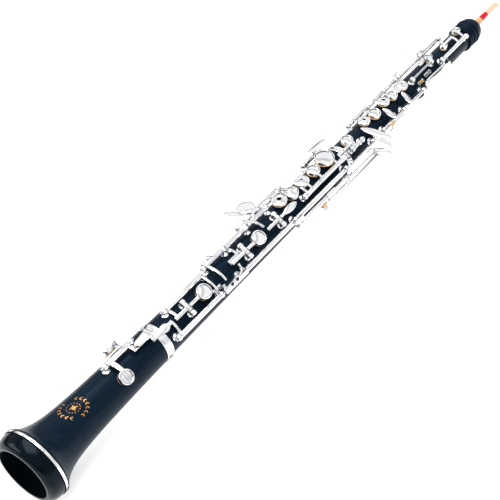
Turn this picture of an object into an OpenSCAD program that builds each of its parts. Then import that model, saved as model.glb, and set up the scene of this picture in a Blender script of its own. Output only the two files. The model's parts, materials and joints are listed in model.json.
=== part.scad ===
// Full-conservatoire oboe in three joints with its reed.
// The bore axis is X: x = 0 is the mouth of the bell and x grows towards the reed.
// Around the bore a place is given by an angle: 0 is the front (+Z), positive turns towards -Y.

/* [Body] */
// Outer radius of the ring round the bell
bell_ring_r = 27.5; // [27:0.1:28]
// Radius of the bell mouth
mouth_r = 20.5; // [20:0.1:21]
// Length of the bell
bell_len = 136; // [136:0.2:137]
// Length from the bell mouth to the top of the lower joint
lower_top = 372; // [371.8:0.1:372.2]
// Length from the bell mouth to the crown's end
body_len = 600; // [599:0.5:603]
// Body radius at the foot of the lower joint
lower_foot_r = 14.2; // [14:0.1:14.3]
// Body radius at the head of the lower joint
lower_head_r = 12.2; // [12.1:0.1:12.4]
// Body radius at the foot of the upper joint
upper_foot_r = 11.8; // [11.7:0.1:11.9]
// Body radius under the crown
upper_head_r = 10.2; // [10:0.1:10.3]
// Largest radius of the crown
crown_r = 12.1; // [12:0.1:12.6]

/* [Keywork] */
// Radius of the steel hinge axles
axle_r = 1; // [0.95:0.01:1.02]
// Radius of the hinge tubes on the lower joint and bell
tube_r = 2.1; // [2:0.05:2.2]
// Radius of the hinge tubes on the upper joint
slim_r = 1.8; // [1.75:0.05:1.9]
// Radius of the balls on the posts
ball_r = 2.6; // [2.5:0.05:2.7]
// Thickness of the pads
pad_t = 1.6; // [1.5:0.05:1.6]
// Thickness of the cup walls above the pads
cup_t = 1.7; // [1.6:0.05:1.8]
// Height of the crowned top of a cup
dome_h = 0.7; // [0.5:0.1:0.9]

/* [Reed] */
// Length of the reed that stands out of the crown
reed_out = 48; // [46:1:49]
// Width of the cane blades at the tip
tip_w = 7; // [6.6:0.1:7.2]

/* [Hidden] */
$fn = 48;
bore_r = axle_r + 0.06;
seat_h = 0.4;
// Radius of a tone hole as a part of its cup's radius
hole_part = 0.45;
// Depth to which a post is screwed into the wood
screw_depth = 3.2;
silver = [0.86, 0.87, 0.88];
black = [0.05, 0.07, 0.09];
cream = [0.93, 0.85, 0.68];
cork = [0.78, 0.6, 0.4];
steel = [0.35, 0.38, 0.45];

// Hinge lines: [angle, distance from the bore axis]
bell_line = [0, 19.5];
right_line = [70, 18];
outer_line = [87, 19];
left_line = [0, 18];
pinky_line = [-10, 18];
eflat_line = [-50, 18];
d_line = [-30, 17.4];
plate_line = [45, 16.6];
trill_line = [-45, 17.4];
bridge_line = [45, 16];
stack_line = [-35, 15.4];
side_line = [75, 15.4];
octave_line = [46, 14.8];
thumb_line = [-150, 14.8];
dtrill_line = [-38, 15];
rod_line = [22, 14.8];

// Seesaw levers: [pivot x, angle, height of the pivot above the bore axis]
low_b_pivot = [162, 35, 17.8];
low_c_pivot = [230.5, 36, 17.6];
f_pivot = [272.5, 38, 17.4];

// Cups: [x, angle, radius, lift of the open pad, radius of the finger hole]
bell_cups = [[90.4, 47, 5.5, 0.05, 0], [105, -52, 7.2, 1.4, 0]];
low_b_cups = [[180, 35, 6, 1.4, 0]];
csharp_cups = [[211, -64, 6, 0.05, 0]];
low_c_cups = [[247, 36, 5.8, 1.4, 0]];
eflat_cups = [[301.5, 9, 6, 0.05, 0]];
d_cups = [[287.4, 4, 6.4, 2.2, 2]];
e_cups = [[316, 8, 6.4, 1.8, 1]];
fsharp_cups = [[331.4, 11, 5.4, 2.2, 0], [348.4, 8, 8.2, 2.6, 0]];
trill_cups = [[344, -80, 5, 0.05, 0]];
bridge_cups = [[379, 15, 5, 1.5, 0]];
g_cups = [[408, 8, 5.4, 2, 1.5], [421.2, 16, 5.2, 2, 0]];
a_cups = [[439.6, 7, 5.4, 2, 1.5], [451, 14, 4.4, 2, 0]];
b_cups = [[467.6, 10, 5.8, 2, 1]];
octave_cups = [[568.4, 2, 3.8, 0.05, 0], [541, 13, 3.2, 0.05, 0]];
thumb_cups = [[530, -112, 3.6, 0.05, 0]];
dtrill_cups = [[518, 0, 4, 0.05, 0]];

// Posts: [x, angle, distance of the ball from the bore axis]
bell_posts_at = [[86, 0, 19.5], [112.6, 0, 19.5]];
lower_posts_at = [
    [148.4, 0, 18], [192.2, 0, 18], [141.5, 70, 18], [190.4, 70, 18], [213.6, 70, 18],
    [284.8, 70, 18], [356.6, 70, 18], [286.6, 87, 19], [356.6, 87, 19],
    [197, -10, 18], [221, -10, 18], [249, -10, 18], [275.4, -10, 18],
    [251.4, -50, 18], [305.4, -50, 18], [277.4, -30, 17.4], [297.6, -30, 17.4],
    [306.4, 45, 16.6], [362.6, 45, 16.6], [338, -45, 17.4], [360, -45, 17.4]];
upper_posts_at = [
    [376, 45, 16], [390, 45, 16], [400, -35, 15.4], [430.6, -35, 15.4], [457, -35, 15.4], [476.6, -35, 15.4],
    [400, 75, 15.4], [418, 75, 15.4], [450.4, 75, 15.4], [483.6, 75, 15.4], [482, -38, 15], [519.4, -38, 15],
    [552.2, -38, 15], [481.4, rod_line[0], rod_line[1]], [513.8, rod_line[0], rod_line[1]], [524.4, 46, 14.8], [568, 46, 14.8],
    [488, -150, 14.8], [534, -150, 14.8]];
// Half the gap between the two posts of a seesaw
seesaw_gap = 5.4;

// ---- outlines ----
function bell_r(x) = 14.3 + 7.5 * exp(-(x - 14) / 9) + 5 * exp(-(x - 14) / 50);
function bell_bore_r(x) = 8 + 10.5 * exp(-(x - 9) / 32);
function mix(a, b, t) = a + (b - a) * t;
function body_r(x) =
    x < bell_len ? bell_r(x) :
    x < lower_top ? mix(lower_foot_r, lower_head_r, (x - bell_len) / (lower_top - bell_len)) :
    mix(upper_foot_r, upper_head_r, (x - lower_top) / (575 - lower_top));
function cup_base(c) = body_r(c[0]) + seat_h + c[3] + pad_t;
function dome(r, z, inner) = [for (i = [0:5]) let (p = mix(r, inner, i / 5)) [p, z + dome_h * (1 - pow(p / r, 2))]];

// ---- placing ----
module at(x, a, r = 0) translate([x, 0, 0]) rotate([a, 0, 0]) translate([0, 0, r]) children();
module along_x() rotate([0, 90, 0]) children();
// A solid of revolution about X from [x, r] points
module turned(points) rotate([0, 90, 0]) rotate([0, 0, 180]) rotate_extrude($fn = 96)
    polygon([for (p = points) [p[1], p[0]]]);
module x_rod(x0, x1, line, r) at(x0, line[0], line[1]) along_x() cylinder(r = r, h = x1 - x0);

// ---- key pieces ----
// A curved arm that runs round the body between two angles
module arm(x, a0, a1, r, w = 2.2, t = 1.8)
    translate([x - w / 2, 0, 0]) rotate([min(a0, a1), 0, 0]) along_x() rotate([0, 0, 180])
        rotate_extrude(angle = abs(a1 - a0), $fn = 96) translate([r - t / 2, 0]) square([t, w]);
// A straight bar that runs along the body at one angle
module bar(x0, x1, a, r0, r1, w = 2.6, t = 1.8, yaw = 0)
    at(x0, a, r0) rotate([0, 0, yaw]) rotate([0, -atan2(r1 - r0, x1 - x0), 0])
        translate([0, -w / 2, -t / 2]) cube([norm([x1 - x0, r1 - r0]), w, t]);
// A pointed oval touch piece
module leaf(x, a, r, length, width, yaw = 0, roll = 0, t = 1.4)
    at(x, a, r) rotate([roll, 0, 0]) rotate([0, 0, yaw]) intersection() {
        big = (length * length / 4 + width * width / 4) / width;
        translate([0, big - width / 2, -t / 2]) cylinder(r = big, h = t, $fn = 96);
        translate([0, width / 2 - big, -t / 2]) cylinder(r = big, h = t, $fn = 96);
    }
module cup(c) at(c[0], c[1], cup_base(c))
    rotate_extrude() polygon(concat([[c[4], 0], [c[2], 0]], dome(c[2], cup_t, c[4])));
module pad(c) at(c[0], c[1], cup_base(c) - pad_t) difference() {
    rotate_extrude() polygon([[0, 0], [c[2] - 0.7, 0], [c[2] - 0.25, 0.5], [c[2] - 0.25, pad_t], [0, pad_t]]);
    if (c[4] > 0) translate([0, 0, -1]) cylinder(r = c[4], h = pad_t + 2);
}
module pads(list) color(cream) for (c = list) pad(c);
// The space that a pad fills under its cup
module pad_room(c) at(c[0], c[1], cup_base(c) - pad_t - 1) cylinder(r = c[2] - 0.2, h = pad_t + 1);
// A key on a hinge tube: its cups, and its arms and touches as children
module hinged(spans, line, r, cup_list = []) color(silver) difference() {
    union() {
        for (s = spans) x_rod(s[0], s[1], line, r);
        for (c = cup_list) cup(c);
        children();
    }
    for (s = spans) x_rod(s[0] - 1, s[1] + 1, line, bore_r);
    for (c = cup_list) pad_room(c);
}
// A lever that rocks across the body on a short pivot
module seesaw(pivot, cup_list = []) color(silver) difference() {
    union() {
        at(pivot[0], pivot[1], pivot[2]) rotate([90, 0, 0]) cylinder(r = 2.1, h = 6.4, center = true);
        for (c = cup_list) cup(c);
        children();
    }
    at(pivot[0], pivot[1], pivot[2]) rotate([90, 0, 0]) cylinder(r = bore_r, h = 12, center = true);
    for (c = cup_list) pad_room(c);
}

// ---- posts and axles ----
module post_shape(x, a, r) at(x, a) {
    base = body_r(x);
    translate([0, 0, base - screw_depth]) cylinder(r = 1.1, h = r - base + screw_depth);
    translate([0, 0, base - 0.4]) rotate_extrude()
        polygon([[0, 0], [2.9, 0], [2.9, 0.7], [2.2, 1], [1.5, 1.7], [1.25, r - base - 1], [0, r - base - 1]]);
    intersection() {
        translate([0, 0, r]) sphere(r = ball_r);
        translate([-1.8, -4, r - 4]) cube([3.6, 8, 8]);
    }
}
module seesaw_posts(p) for (s = [-1, 1]) {
    reach = norm([p[2], seesaw_gap]);
    swing = atan2(seesaw_gap, p[2]);
    at(p[0], p[1] + s * swing) {
        base = body_r(p[0]);
        translate([0, 0, base - screw_depth]) cylinder(r = 1.1, h = reach - base + screw_depth);
        translate([0, 0, base - 0.4]) rotate_extrude()
            polygon([[0, 0], [2.7, 0], [2.7, 0.7], [1.5, 1.5], [1.3, reach - base], [0, reach - base]]);
    }
    at(p[0], p[1], p[2]) translate([0, -s * seesaw_gap, 0]) intersection() {
        sphere(r = 2.4);
        cube([8, 3.4, 8], center = true);
    }
}
module axle(x0, x1, line, r = axle_r) {
    x_rod(x0, x1, line, r);
    difference() {
        x_rod(x0 - 0.8, x0, line, 1.7);
        at(x0 - 0.9, line[0], line[1]) translate([0, -0.2, -2]) cube([0.5, 0.4, 4]);
    }
}
module pivot_axle(p, r = axle_r) at(p[0], p[1], p[2]) rotate([90, 0, 0]) cylinder(r = r, h = 2 * seesaw_gap + 4, center = true);

bell_axles_at = [[84, 114.4, bell_line]];
lower_axles_at = [
    [146.6, 194, left_line], [139.7, 192.2, right_line], [211.8, 358.4, right_line],
    [195.2, 277.2, pinky_line], [249.6, 307.2, eflat_line], [275.6, 299.4, d_line],
    [304.6, 364.4, plate_line], [336.2, 361.8, trill_line], [284.8, 358.4, outer_line]];
upper_axles_at = [
    [374.2, 391.8, bridge_line], [398.2, 478.4, stack_line], [398.2, 485.4, side_line],
    [480.2, 554, dtrill_line], [479.6, 515.6, rod_line], [522.6, 569.8, octave_line], [486.2, 535.8, thumb_line]];

// ---- wood ----
module chimney(c) at(c[0], c[1]) translate([0, 0, 5]) cylinder(r = c[2] * hole_part + 1.2, h = body_r(c[0]) + seat_h - 5);
module tone_hole(c) at(c[0], c[1]) cylinder(r = c[2] * hole_part, h = body_r(c[0]) + 3);

module bell() color(black) difference() {
    union() {
        turned(concat(
            [[0, 0], [0, mouth_r + 1.6]],
            [for (i = [0:6]) let (t = i * 15) [0.4 + 9.6 * (1 - cos(t)) , mouth_r + 2 + (bell_ring_r - mouth_r - 2.4) * sin(t)]],
            [[10.2, bell_ring_r - 2], [13.4, bell_ring_r - 2], [13.4, bell_ring_r - 0.6], [14.4, bell_ring_r - 0.9]],
            [for (i = [1:14]) let (x = 14.4 + (bell_len - 7 - 14.4) * pow(i / 14, 1.8)) [x, bell_r(x)]],
            [[bell_len - 7, 13.6], [bell_len, 13.6], [bell_len, 0]]));
        for (c = bell_cups) chimney(c);
    }
    turned(concat([[-1, 0], [-1, mouth_r], [5, mouth_r], [9, 18.5]],
        [for (i = [1:9]) let (x = 9 + 103 * pow(i / 9, 1.4)) [x, bell_bore_r(x)]],
        [[112, 10.5], [bell_len + 1, 10.5], [bell_len + 1, 0]]));
    for (c = bell_cups) tone_hole(c);
}
module bell_ring() color(silver) turned([
    [10.3, bell_ring_r - 2], [10.3, bell_ring_r - 0.5], [10.9, bell_ring_r], [12.7, bell_ring_r],
    [13.3, bell_ring_r - 0.5], [13.3, bell_ring_r - 2]]);
module bell_band() color(silver) turned([
    [bell_len - 7, 13.6], [bell_len - 7, 15], [bell_len - 6.6, 15.3], [bell_len - 5.6, 15.3],
    [bell_len - 5.3, 15.1], [bell_len - 1.7, 15.1], [bell_len - 1.4, 15.3], [bell_len - 0.4, 15.3],
    [bell_len, 15], [bell_len, 13.6]]);

lower_cups = concat(low_b_cups, csharp_cups, low_c_cups, eflat_cups, d_cups, e_cups, fsharp_cups, trill_cups);
upper_cups = concat(bridge_cups, g_cups, a_cups, b_cups, octave_cups, thumb_cups, dtrill_cups);
module lower_joint() color(black) difference() {
    union() {
        turned([
            [112.3, 0], [112.3, 10.3], [116, 10.3], [116, 9.4], [130, 9.4], [130, 10.3], [bell_len, 10.3],
            [bell_len, lower_foot_r - 0.4], [bell_len + 0.5, lower_foot_r],
            [lower_top - 6, body_r(lower_top - 6)], [lower_top - 6, 10.8], [lower_top, 10.8], [lower_top, 0]]);
        for (c = lower_cups) chimney(c);
    }
    turned([[112, 0], [112, 7.8], [350, 5.2], [350, 8.8], [lower_top + 1, 8.8], [lower_top + 1, 0]]);
    for (c = lower_cups) tone_hole(c);
}
module lower_tenon_cork() color(cork) turned([[116, 9.4], [116, 10.44], [130, 10.44], [130, 9.4]]);
module lower_band() color(silver) turned([
    [lower_top - 6, 10.8], [lower_top - 6, 12.9], [lower_top - 5.5, 13.1], [lower_top - 4.6, 13.1],
    [lower_top - 4.3, 12.9], [lower_top - 1.7, 12.9], [lower_top - 1.4, 13.1], [lower_top - 0.5, 13.1],
    [lower_top, 12.9], [lower_top, 10.8]]);
module upper_joint() color(black) difference() {
    union() {
        turned([
            [350.3, 0], [350.3, 8.6], [354, 8.6], [354, 7.9], [367, 7.9], [367, 8.6], [lower_top, 8.6],
            [lower_top, upper_foot_r - 0.4], [lower_top + 0.5, upper_foot_r], [575, upper_head_r],
            [575, crown_r - 0.9], [575.6, crown_r - 0.4], [577.2, crown_r - 0.3], [577.8, crown_r - 0.9],
            [578.2, crown_r - 1.5], [582.4, crown_r - 1.3], [583, crown_r - 0.8], [584.2, crown_r - 0.5],
            [585.4, crown_r - 0.8], [585.8, crown_r - 1.2], [587.4, crown_r - 1.1], [588.4, crown_r - 0.4],
            [590, crown_r - 0.1], [592.6, crown_r - 0.3], [595.6, crown_r - 0.9], [598.2, crown_r - 2],
            [body_len - 0.4, crown_r - 3.4], [body_len, crown_r - 4.2], [body_len, 0]]);
        for (c = upper_cups) chimney(c);
    }
    turned([[350, 0], [350, 5.2], [581, 2.6], [581, 3.6], [body_len + 1, 3.6], [body_len + 1, 0]]);
    for (c = upper_cups) tone_hole(c);
}
module upper_tenon_cork() color(cork) turned([[354, 7.9], [354, 8.74], [367, 8.74], [367, 7.9]]);

// ---- fixed metalwork ----
module thumb_rest() color(silver) difference() {
    union() {
        arm(333, 158, 202, 13.45, 24, 1.6);
        at(337, 180, 13.4) translate([-1.2, -6, 0]) cube([2.4, 12, 10.6]);
        at(337, 180, 24) rotate([90, 0, 0]) cylinder(r = 2.8, h = 12, center = true);
        at(326, 180, 13.6) translate([-2.4, -1.2, 0]) cube([4.8, 2.4, 6.6]);
    }
    at(326, 180, 17.8) rotate([90, 0, 0]) cylinder(r = 1.5, h = 6, center = true);
}
module axle_bores(list) for (l = list) x_rod(l[0] - 2, l[1] + 2, l[2], axle_r + 0.03);
module bell_posts() color(silver) difference() {
    for (p = bell_posts_at) post_shape(p[0], p[1], p[2]);
    axle_bores(bell_axles_at);
}
module lower_posts() color(silver) difference() {
    union() {
        for (p = lower_posts_at) post_shape(p[0], p[1], p[2]);
        for (p = [low_b_pivot, low_c_pivot, f_pivot]) seesaw_posts(p);
    }
    axle_bores(lower_axles_at);
    for (p = [low_b_pivot, low_c_pivot, f_pivot]) pivot_axle(p, axle_r + 0.03);
}
module upper_posts() color(silver) difference() {
    union() {
        for (p = upper_posts_at) post_shape(p[0], p[1], p[2]);
        arm(521.6, 84, 118, 11.3, 4, 1.2);
    }
    axle_bores(upper_axles_at);
}
module lower_axles() color(steel) {
    for (l = concat(bell_axles_at, lower_axles_at)) axle(l[0], l[1], l[2]);
    for (p = [low_b_pivot, low_c_pivot, f_pivot]) pivot_axle(p);
}
module upper_axles() color(steel) for (l = upper_axles_at) axle(l[0], l[1], l[2]);

// Needle springs: [x of the post, x of the free end, hinge line]
springs_at = [
    [86, 98, bell_line], [192.2, 176, left_line], [190.4, 172, right_line], [284.8, 262, right_line],
    [221, 206, pinky_line], [249, 234, pinky_line], [305.4, 290, eflat_line], [297.6, 290, d_line],
    [306.4, 322, plate_line], [362.6, 344, plate_line], [360, 348, trill_line], [356.6, 338, outer_line],
    [286.6, 304, outer_line], [390, 382, bridge_line], [400, 414, stack_line], [457, 445, stack_line],
    [476.6, 468, stack_line], [418, 432, side_line], [483.6, 470, side_line], [519.4, 505, dtrill_line],
    [568, 550, octave_line], [488, 504, thumb_line]];
module needle_springs() color(steel) for (s = springs_at) {
    line = [s[2][0], s[2][1] - 3.2];
    x_rod(min(s[0], s[1]), max(s[0], s[1]), line, 0.35);
}

// ---- reed ----
reed_tip = body_len + reed_out;
thread_x = body_len + 14;
blade_x = thread_x + 15;
module reed_staple() color("gold") turned([
    [body_len - 17.6, 1.9], [body_len - 17.6, 2.3], [blade_x - 1, 2.2], [blade_x - 1, 1.8]]);
module reed_cork() color(cork) turned([
    [body_len - 17.6, 2.3], [body_len - 17.6, 3.3], [body_len - 16.6, 3.5], [body_len, 3.5],
    [thread_x, 3.2], [thread_x, 2.3]]);
module reed_thread() color("crimson") turned([
    [thread_x, 2.3], [thread_x, 3], [thread_x + 1, 3.2], [blade_x - 1, 2.9], [blade_x, 2.5], [blade_x, 2.3]]);
module reed_cane() color([0.92, 0.85, 0.68]) hull() {
    translate([blade_x, 0, 0]) along_x() cylinder(r = 2.6, h = 0.2, $fn = 32);
    translate([reed_tip - 1, -tip_w / 2, -0.4]) cube([1, tip_w, 0.8]);
}

// ---- keys of the bell and lower joint ----
module riser(x, a, r0, r1, r = 1.2) at(x, a, r0) cylinder(r = r, h = r1 - r0);
// A bridge that carries one tube past a post
module bridge(x0, x1, line, w = 3.4) {
    at(x0, line[0], line[1] + 1) translate([0, -w / 2, 0]) cube([2, w, 2.9]);
    at(x1 - 2, line[0], line[1] + 1) translate([0, -w / 2, 0]) cube([2, w, 2.9]);
    at(x0, line[0], line[1] + 3.1) translate([0, -w / 2, 0]) cube([x1 - x0, w, 1.4]);
}
module bell_key() hinged([[88.1, 110.5]], bell_line, tube_r, bell_cups) {
    difference() {
        arm(91.2, 0, 62, 19.6, 3.4, 1.8);
        arm(91.2, 8, 64, 20.3, 0.6, 1.2);
    }
    arm(105, -52, 0, 20.4);
    arm(109.2, 0, 18, 18.9, 2.4);
    bar(108.2, 126.4, 17, 18.9, 18.5, 4, 1.5);
    arm(125, 15, 34, 18.5, 3, 1.5);
}
module bell_key_pads() pads(bell_cups);
module bell_link() hinged([[143.5, 188.4]], right_line, tube_r) {
    arm(145, 31, 70, 16.6, 2.2, 1.6);
    bar(124.4, 146, 31, 16.4, 16.4, 3, 1.4);
    leaf(138, 31, 16.4, 10, 6.4);
    arm(186.8, 52, 70, 18.3, 1.4, 1.4);
}
module b_link() hinged([[150.4, 190.2]], left_line, tube_r) {
    arm(151.8, 0, 38, 15.8, 2.2, 1.6);
    arm(189.2, 0, 50, 18.2, 1.8, 1.6);
    at(189.2, 50, 17.4) cylinder(r = 1.4, h = 1.8);
}
module low_b_key() seesaw(low_b_pivot, low_b_cups) {
    bar(148, 176, 35, 17.8, 17.8);
}
module low_b_pad() pads(low_b_cups);
module bflat_lever() hinged([[215.6, 282.8], [286.8, 354.6]], right_line, tube_r) {
    bridge(280, 290, right_line);
    at(216, 66, 18.5) translate([0, -2.2, 0]) cube([2, 4.4, 3.9]);
    bar(192.3, 218, 66, 21.7, 21.7, 4.4, 1.4);
    arm(193.6, 53, 68, 21.7, 2.6, 1.4);
    at(193.6, 55, 15.9) translate([-1.3, -1, 0]) cube([2.6, 2, 6.4]);
    arm(193.6, 50, 57, 16.5, 2.6, 1.2);
    bar(185.8, 194.9, 52, 16.5, 16.5, 2.6, 1.2);
    arm(217.2, 45, 70, 18.2, 2, 1.6);
    at(352, 70, 19) translate([0, -2, 0]) cube([2.4, 4, 3.6]);
    bar(352, 399.6, 70.5, 21.8, 21.8, 4.4, 1.8);
    leaf(397.6, 73.5, 27.8, 16, 7, 90, -60.5);
}
module csharp_key() hinged([[199, 219]], pinky_line, tube_r, csharp_cups) {
    arm(200.1, -10, 52, 18.4, 2, 1.6);
    arm(211, -64, -10, 17.9);
}
module csharp_pad() pads(csharp_cups);
module low_c_key() seesaw(low_c_pivot, low_c_cups) {
    bar(213.6, 243, 36, 17.6, 17.6);
}
module low_c_pad() pads(low_c_cups);
module c_lever() hinged([[223, 247], [251, 273.4]], pinky_line, tube_r) {
    arm(224.6, -10, 28, 15.6, 2.2, 1.6);
    bar(213.8, 225.6, 26, 15.6, 15.6, 2.2, 1.4);
    arm(214.9, 26, 38, 15.6, 2.2, 1.4);
    bridge(245, 253, pinky_line);
    arm(257, -10, 27, 17.8, 2.2);
    at(260, -12, 18) translate([-1.2, -1.5, 0]) cube([2.4, 3, 4.8]);
    arm(260, -45, -10, 22.2, 2.8, 1.6);
    leaf(259.4, -56.3, 27.4, 17, 6.4, 99, 56.3);
}
module f_key() seesaw(f_pivot) {
    bar(258, 282, 38, 17.4, 17.4, 2.4);
    leaf(287.2, 38, 17.8, 16, 5, 0, 0, 1.6);
}
module eflat_key() hinged([[253.4, 303.4]], eflat_line, tube_r, eflat_cups) {
    arm(272, -60, -50, 19.6, 2.4, 1.6);
    riser(272.2, -58, 19.2, 25.6);
    leaf(272.6, -58, 25.2, 15, 14.4, 0, 58);
    arm(301.5, -50, 9, 17.4);
}
module eflat_pad() pads(eflat_cups);
module left_eflat_lever() hinged([[288.6, 323.8]], outer_line, tube_r) {
    arm(318, 87, 98, 19.2, 3);
    arm(322, 87, 102, 20, 2.6);
    bar(321, 400.4, 101, 20.4, 21, 3, 1.6);
    leaf(397.4, 98, 25.6, 16, 7, 90, -98);
}
module left_csharp_lever() hinged([[324.2, 354.6]], outer_line, tube_r) {
    at(352, 87, 20) translate([0, -1.6, 0]) cube([2.4, 3.2, 3.6]);
    bar(352, 391.9, 87, 22.8, 22.8, 3.2, 1.6);
    arm(390.4, 78, 88, 22.8, 3, 1.6);
    leaf(390.4, 81.6, 30.8, 17, 7, 90, -81.6);
}
module d_key() hinged([[279.4, 295.6]], d_line, tube_r, d_cups) {
    arm(287, -30, -12, 17.7, 3);
}
module d_pad() pads(d_cups);
module e_key() hinged([[308.4, 327]], plate_line, tube_r, e_cups) {
    arm(316, 22, 45, 17.2);
    arm(309.6, 20, 45, 17.2);
}
module e_pad() pads(e_cups);
module fsharp_key() hinged([[327.4, 360.6]], plate_line, tube_r, fsharp_cups) {
    arm(331, 16, 45, 16.8);
    arm(352, 24, 45, 17);
    arm(359.4, 28, 45, 17, 2.4);
    bar(358.4, 368, 30, 17.5, 17.5, 2.6, 1.4);
}
module fsharp_pads() pads(fsharp_cups);
module side_trill_key() hinged([[340, 358]], trill_line, tube_r, trill_cups) {
    arm(350, -45, -27, 19.4, 2.2, 1.6);
    riser(350, -28, 19, 23.2);
    leaf(354, -25, 23.4, 24, 5, -6);
    arm(344, -80, -45, 16.8);
}
module side_trill_pad() pads(trill_cups);

// ---- keys of the upper joint ----
module bridge_key() hinged([[378, 388]], bridge_line, slim_r, bridge_cups) {
    arm(379, 24, 45, 15.8, 2, 1.6);
    arm(381.4, 28, 45, 15.6, 2, 1.6);
    bar(363, 381, 30, 15.5, 15.5, 2.4, 1.3);
}
module bridge_pad() pads(bridge_cups);
module g_key() hinged([[402, 428.6]], stack_line, slim_r, g_cups) {
    arm(407, -35, -4, 15.8, 2, 1.6);
    arm(421, -35, 8, 15.8, 2, 1.6);
}
module g_pads() pads(g_cups);
module a_key() hinged([[432.6, 455]], stack_line, slim_r, a_cups) {
    arm(439, -35, -4, 15.6, 2, 1.6);
    arm(451, -35, 6, 15.6, 2, 1.6);
}
module a_pads() pads(a_cups);
module b_key() hinged([[459, 474.6]], stack_line, slim_r, b_cups) {
    arm(467, -35, -2, 15.4, 2, 1.6);
    at(460.2, 10, cup_base(b_cups[0])) cylinder(r = 3.6, h = cup_t);
}
module b_pad() pads(b_cups);
module gsharp_key() hinged([[402, 415.8], [420.2, 448.4]], side_line, slim_r) {
    bridge(413, 423, side_line, 3);
    arm(403.6, 52, 75, 16.2, 2.6, 1.6);
    riser(403.6, 53, 16, 19.8, 1.4);
    leaf(402.5, 56.2, 20.7, 26, 7, 103, -42.4);
    arm(434.4, 52, 75, 16.2, 2.4, 1.6);
    at(434.4, 58, 16.2) sphere(r = 2.4);
    leaf(431.6, 46, 17, 13, 5, 112);
}
module high_trill_key() hinged([[452.4, 481.6]], side_line, slim_r) {
    arm(459.4, 54, 75, 16.2, 2.4, 1.6);
    leaf(458.6, 49, 17, 12, 5, 98);
}
module octave_key() hinged([[526.4, 566]], octave_line, slim_r, octave_cups) {
    arm(564, 2, 46, 15.2, 2.8, 1.6);
    bar(562.8, 568.4, 2, 15.2, 15, 2.6, 1.5);
    arm(554.4, 13, 46, 15.2, 2.8, 1.6);
    bar(541, 555.6, 13, 15, 15.2, 2.4, 1.5);
    arm(528.6, 46, 74, 15.6, 2.4, 1.6);
    bar(520, 529.8, 72, 16.3, 16, 4, 1.4);
    bar(487, 522, 69, 17.2, 16.2, 8, 1.4);
}
module octave_pad() pads(octave_cups);
module thumb_octave_key() hinged([[490, 532]], thumb_line, slim_r, thumb_cups) {
    arm(500, -174, -150, 15.4, 2.4, 1.6);
    leaf(500, -174, 16, 16, 9);
    arm(530, -150, -112, 14.8, 2, 1.6);
}
module thumb_octave_pad() pads(thumb_cups);
module d_trill_key() hinged([[484, 517.4], [521.4, 550]], dtrill_line, slim_r, dtrill_cups) {
    bridge(515, 523.8, dtrill_line, 3);
    arm(529, -62, -38, 15.4, 2.2, 1.6);
    leaf(529, -64, 17.6, 13, 6, 90, 14);
    arm(486, -58, -38, 15.8, 2, 1.6);
    riser(486, -57, 15.4, 19);
    at(486, -57, 18.6) difference() {
        cylinder(r = 3.8, h = 1.6);
        translate([0, 0, 0.6]) cylinder(r = 2.6, h = 2);
    }
    arm(516, -38, 0, 14.9, 2, 1.6);
    leaf(508.6, -4, 15.4, 14, 4.4, 20);
}
module d_trill_pad() pads(dtrill_cups);

bell();
bell_ring();
bell_band();
lower_joint();
lower_tenon_cork();
lower_band();
upper_joint();
upper_tenon_cork();
thumb_rest();
bell_posts();
lower_posts();
upper_posts();
lower_axles();
upper_axles();
needle_springs();
reed_staple();
reed_cork();
reed_thread();
reed_cane();
bell_key();
bell_key_pads();
bell_link();
b_link();
low_b_key();
low_b_pad();
bflat_lever();
csharp_key();
csharp_pad();
low_c_key();
low_c_pad();
c_lever();
f_key();
eflat_key();
eflat_pad();
left_eflat_lever();
left_csharp_lever();
d_key();
d_pad();
e_key();
e_pad();
fsharp_key();
fsharp_pads();
side_trill_key();
side_trill_pad();
bridge_key();
bridge_pad();
g_key();
g_pads();
a_key();
a_pads();
b_key();
b_pad();
gsharp_key();
high_trill_key();
octave_key();
octave_pad();
thumb_octave_key();
thumb_octave_pad();
d_trill_key();
d_trill_pad();
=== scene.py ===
"""An oboe on a white studio floor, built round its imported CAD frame."""
import json
import math

import bmesh
import bpy
from mathutils import Matrix, Vector
from mathutils.bvhtree import BVHTree


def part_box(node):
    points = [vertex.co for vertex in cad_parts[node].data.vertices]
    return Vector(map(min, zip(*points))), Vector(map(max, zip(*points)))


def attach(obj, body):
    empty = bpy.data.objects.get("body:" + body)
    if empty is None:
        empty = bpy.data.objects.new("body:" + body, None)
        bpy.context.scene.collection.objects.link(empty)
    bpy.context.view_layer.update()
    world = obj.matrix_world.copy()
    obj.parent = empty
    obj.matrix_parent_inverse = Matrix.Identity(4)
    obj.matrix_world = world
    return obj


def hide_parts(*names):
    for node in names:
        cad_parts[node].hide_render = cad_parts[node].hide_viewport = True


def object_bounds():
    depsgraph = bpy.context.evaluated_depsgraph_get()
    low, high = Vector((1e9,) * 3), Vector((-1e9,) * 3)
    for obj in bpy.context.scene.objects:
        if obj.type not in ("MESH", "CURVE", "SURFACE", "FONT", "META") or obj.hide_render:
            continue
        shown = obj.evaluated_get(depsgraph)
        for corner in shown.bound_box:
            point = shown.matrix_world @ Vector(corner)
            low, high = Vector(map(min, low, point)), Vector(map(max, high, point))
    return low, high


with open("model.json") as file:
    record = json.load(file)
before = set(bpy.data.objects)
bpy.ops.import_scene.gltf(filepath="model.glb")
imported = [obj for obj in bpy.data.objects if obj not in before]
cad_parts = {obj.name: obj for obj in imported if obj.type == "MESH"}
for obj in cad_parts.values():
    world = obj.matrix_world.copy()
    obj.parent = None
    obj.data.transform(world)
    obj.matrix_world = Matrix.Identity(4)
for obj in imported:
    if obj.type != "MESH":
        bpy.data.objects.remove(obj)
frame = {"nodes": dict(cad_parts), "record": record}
cad_low, cad_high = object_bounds()
MM = 0.001


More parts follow.
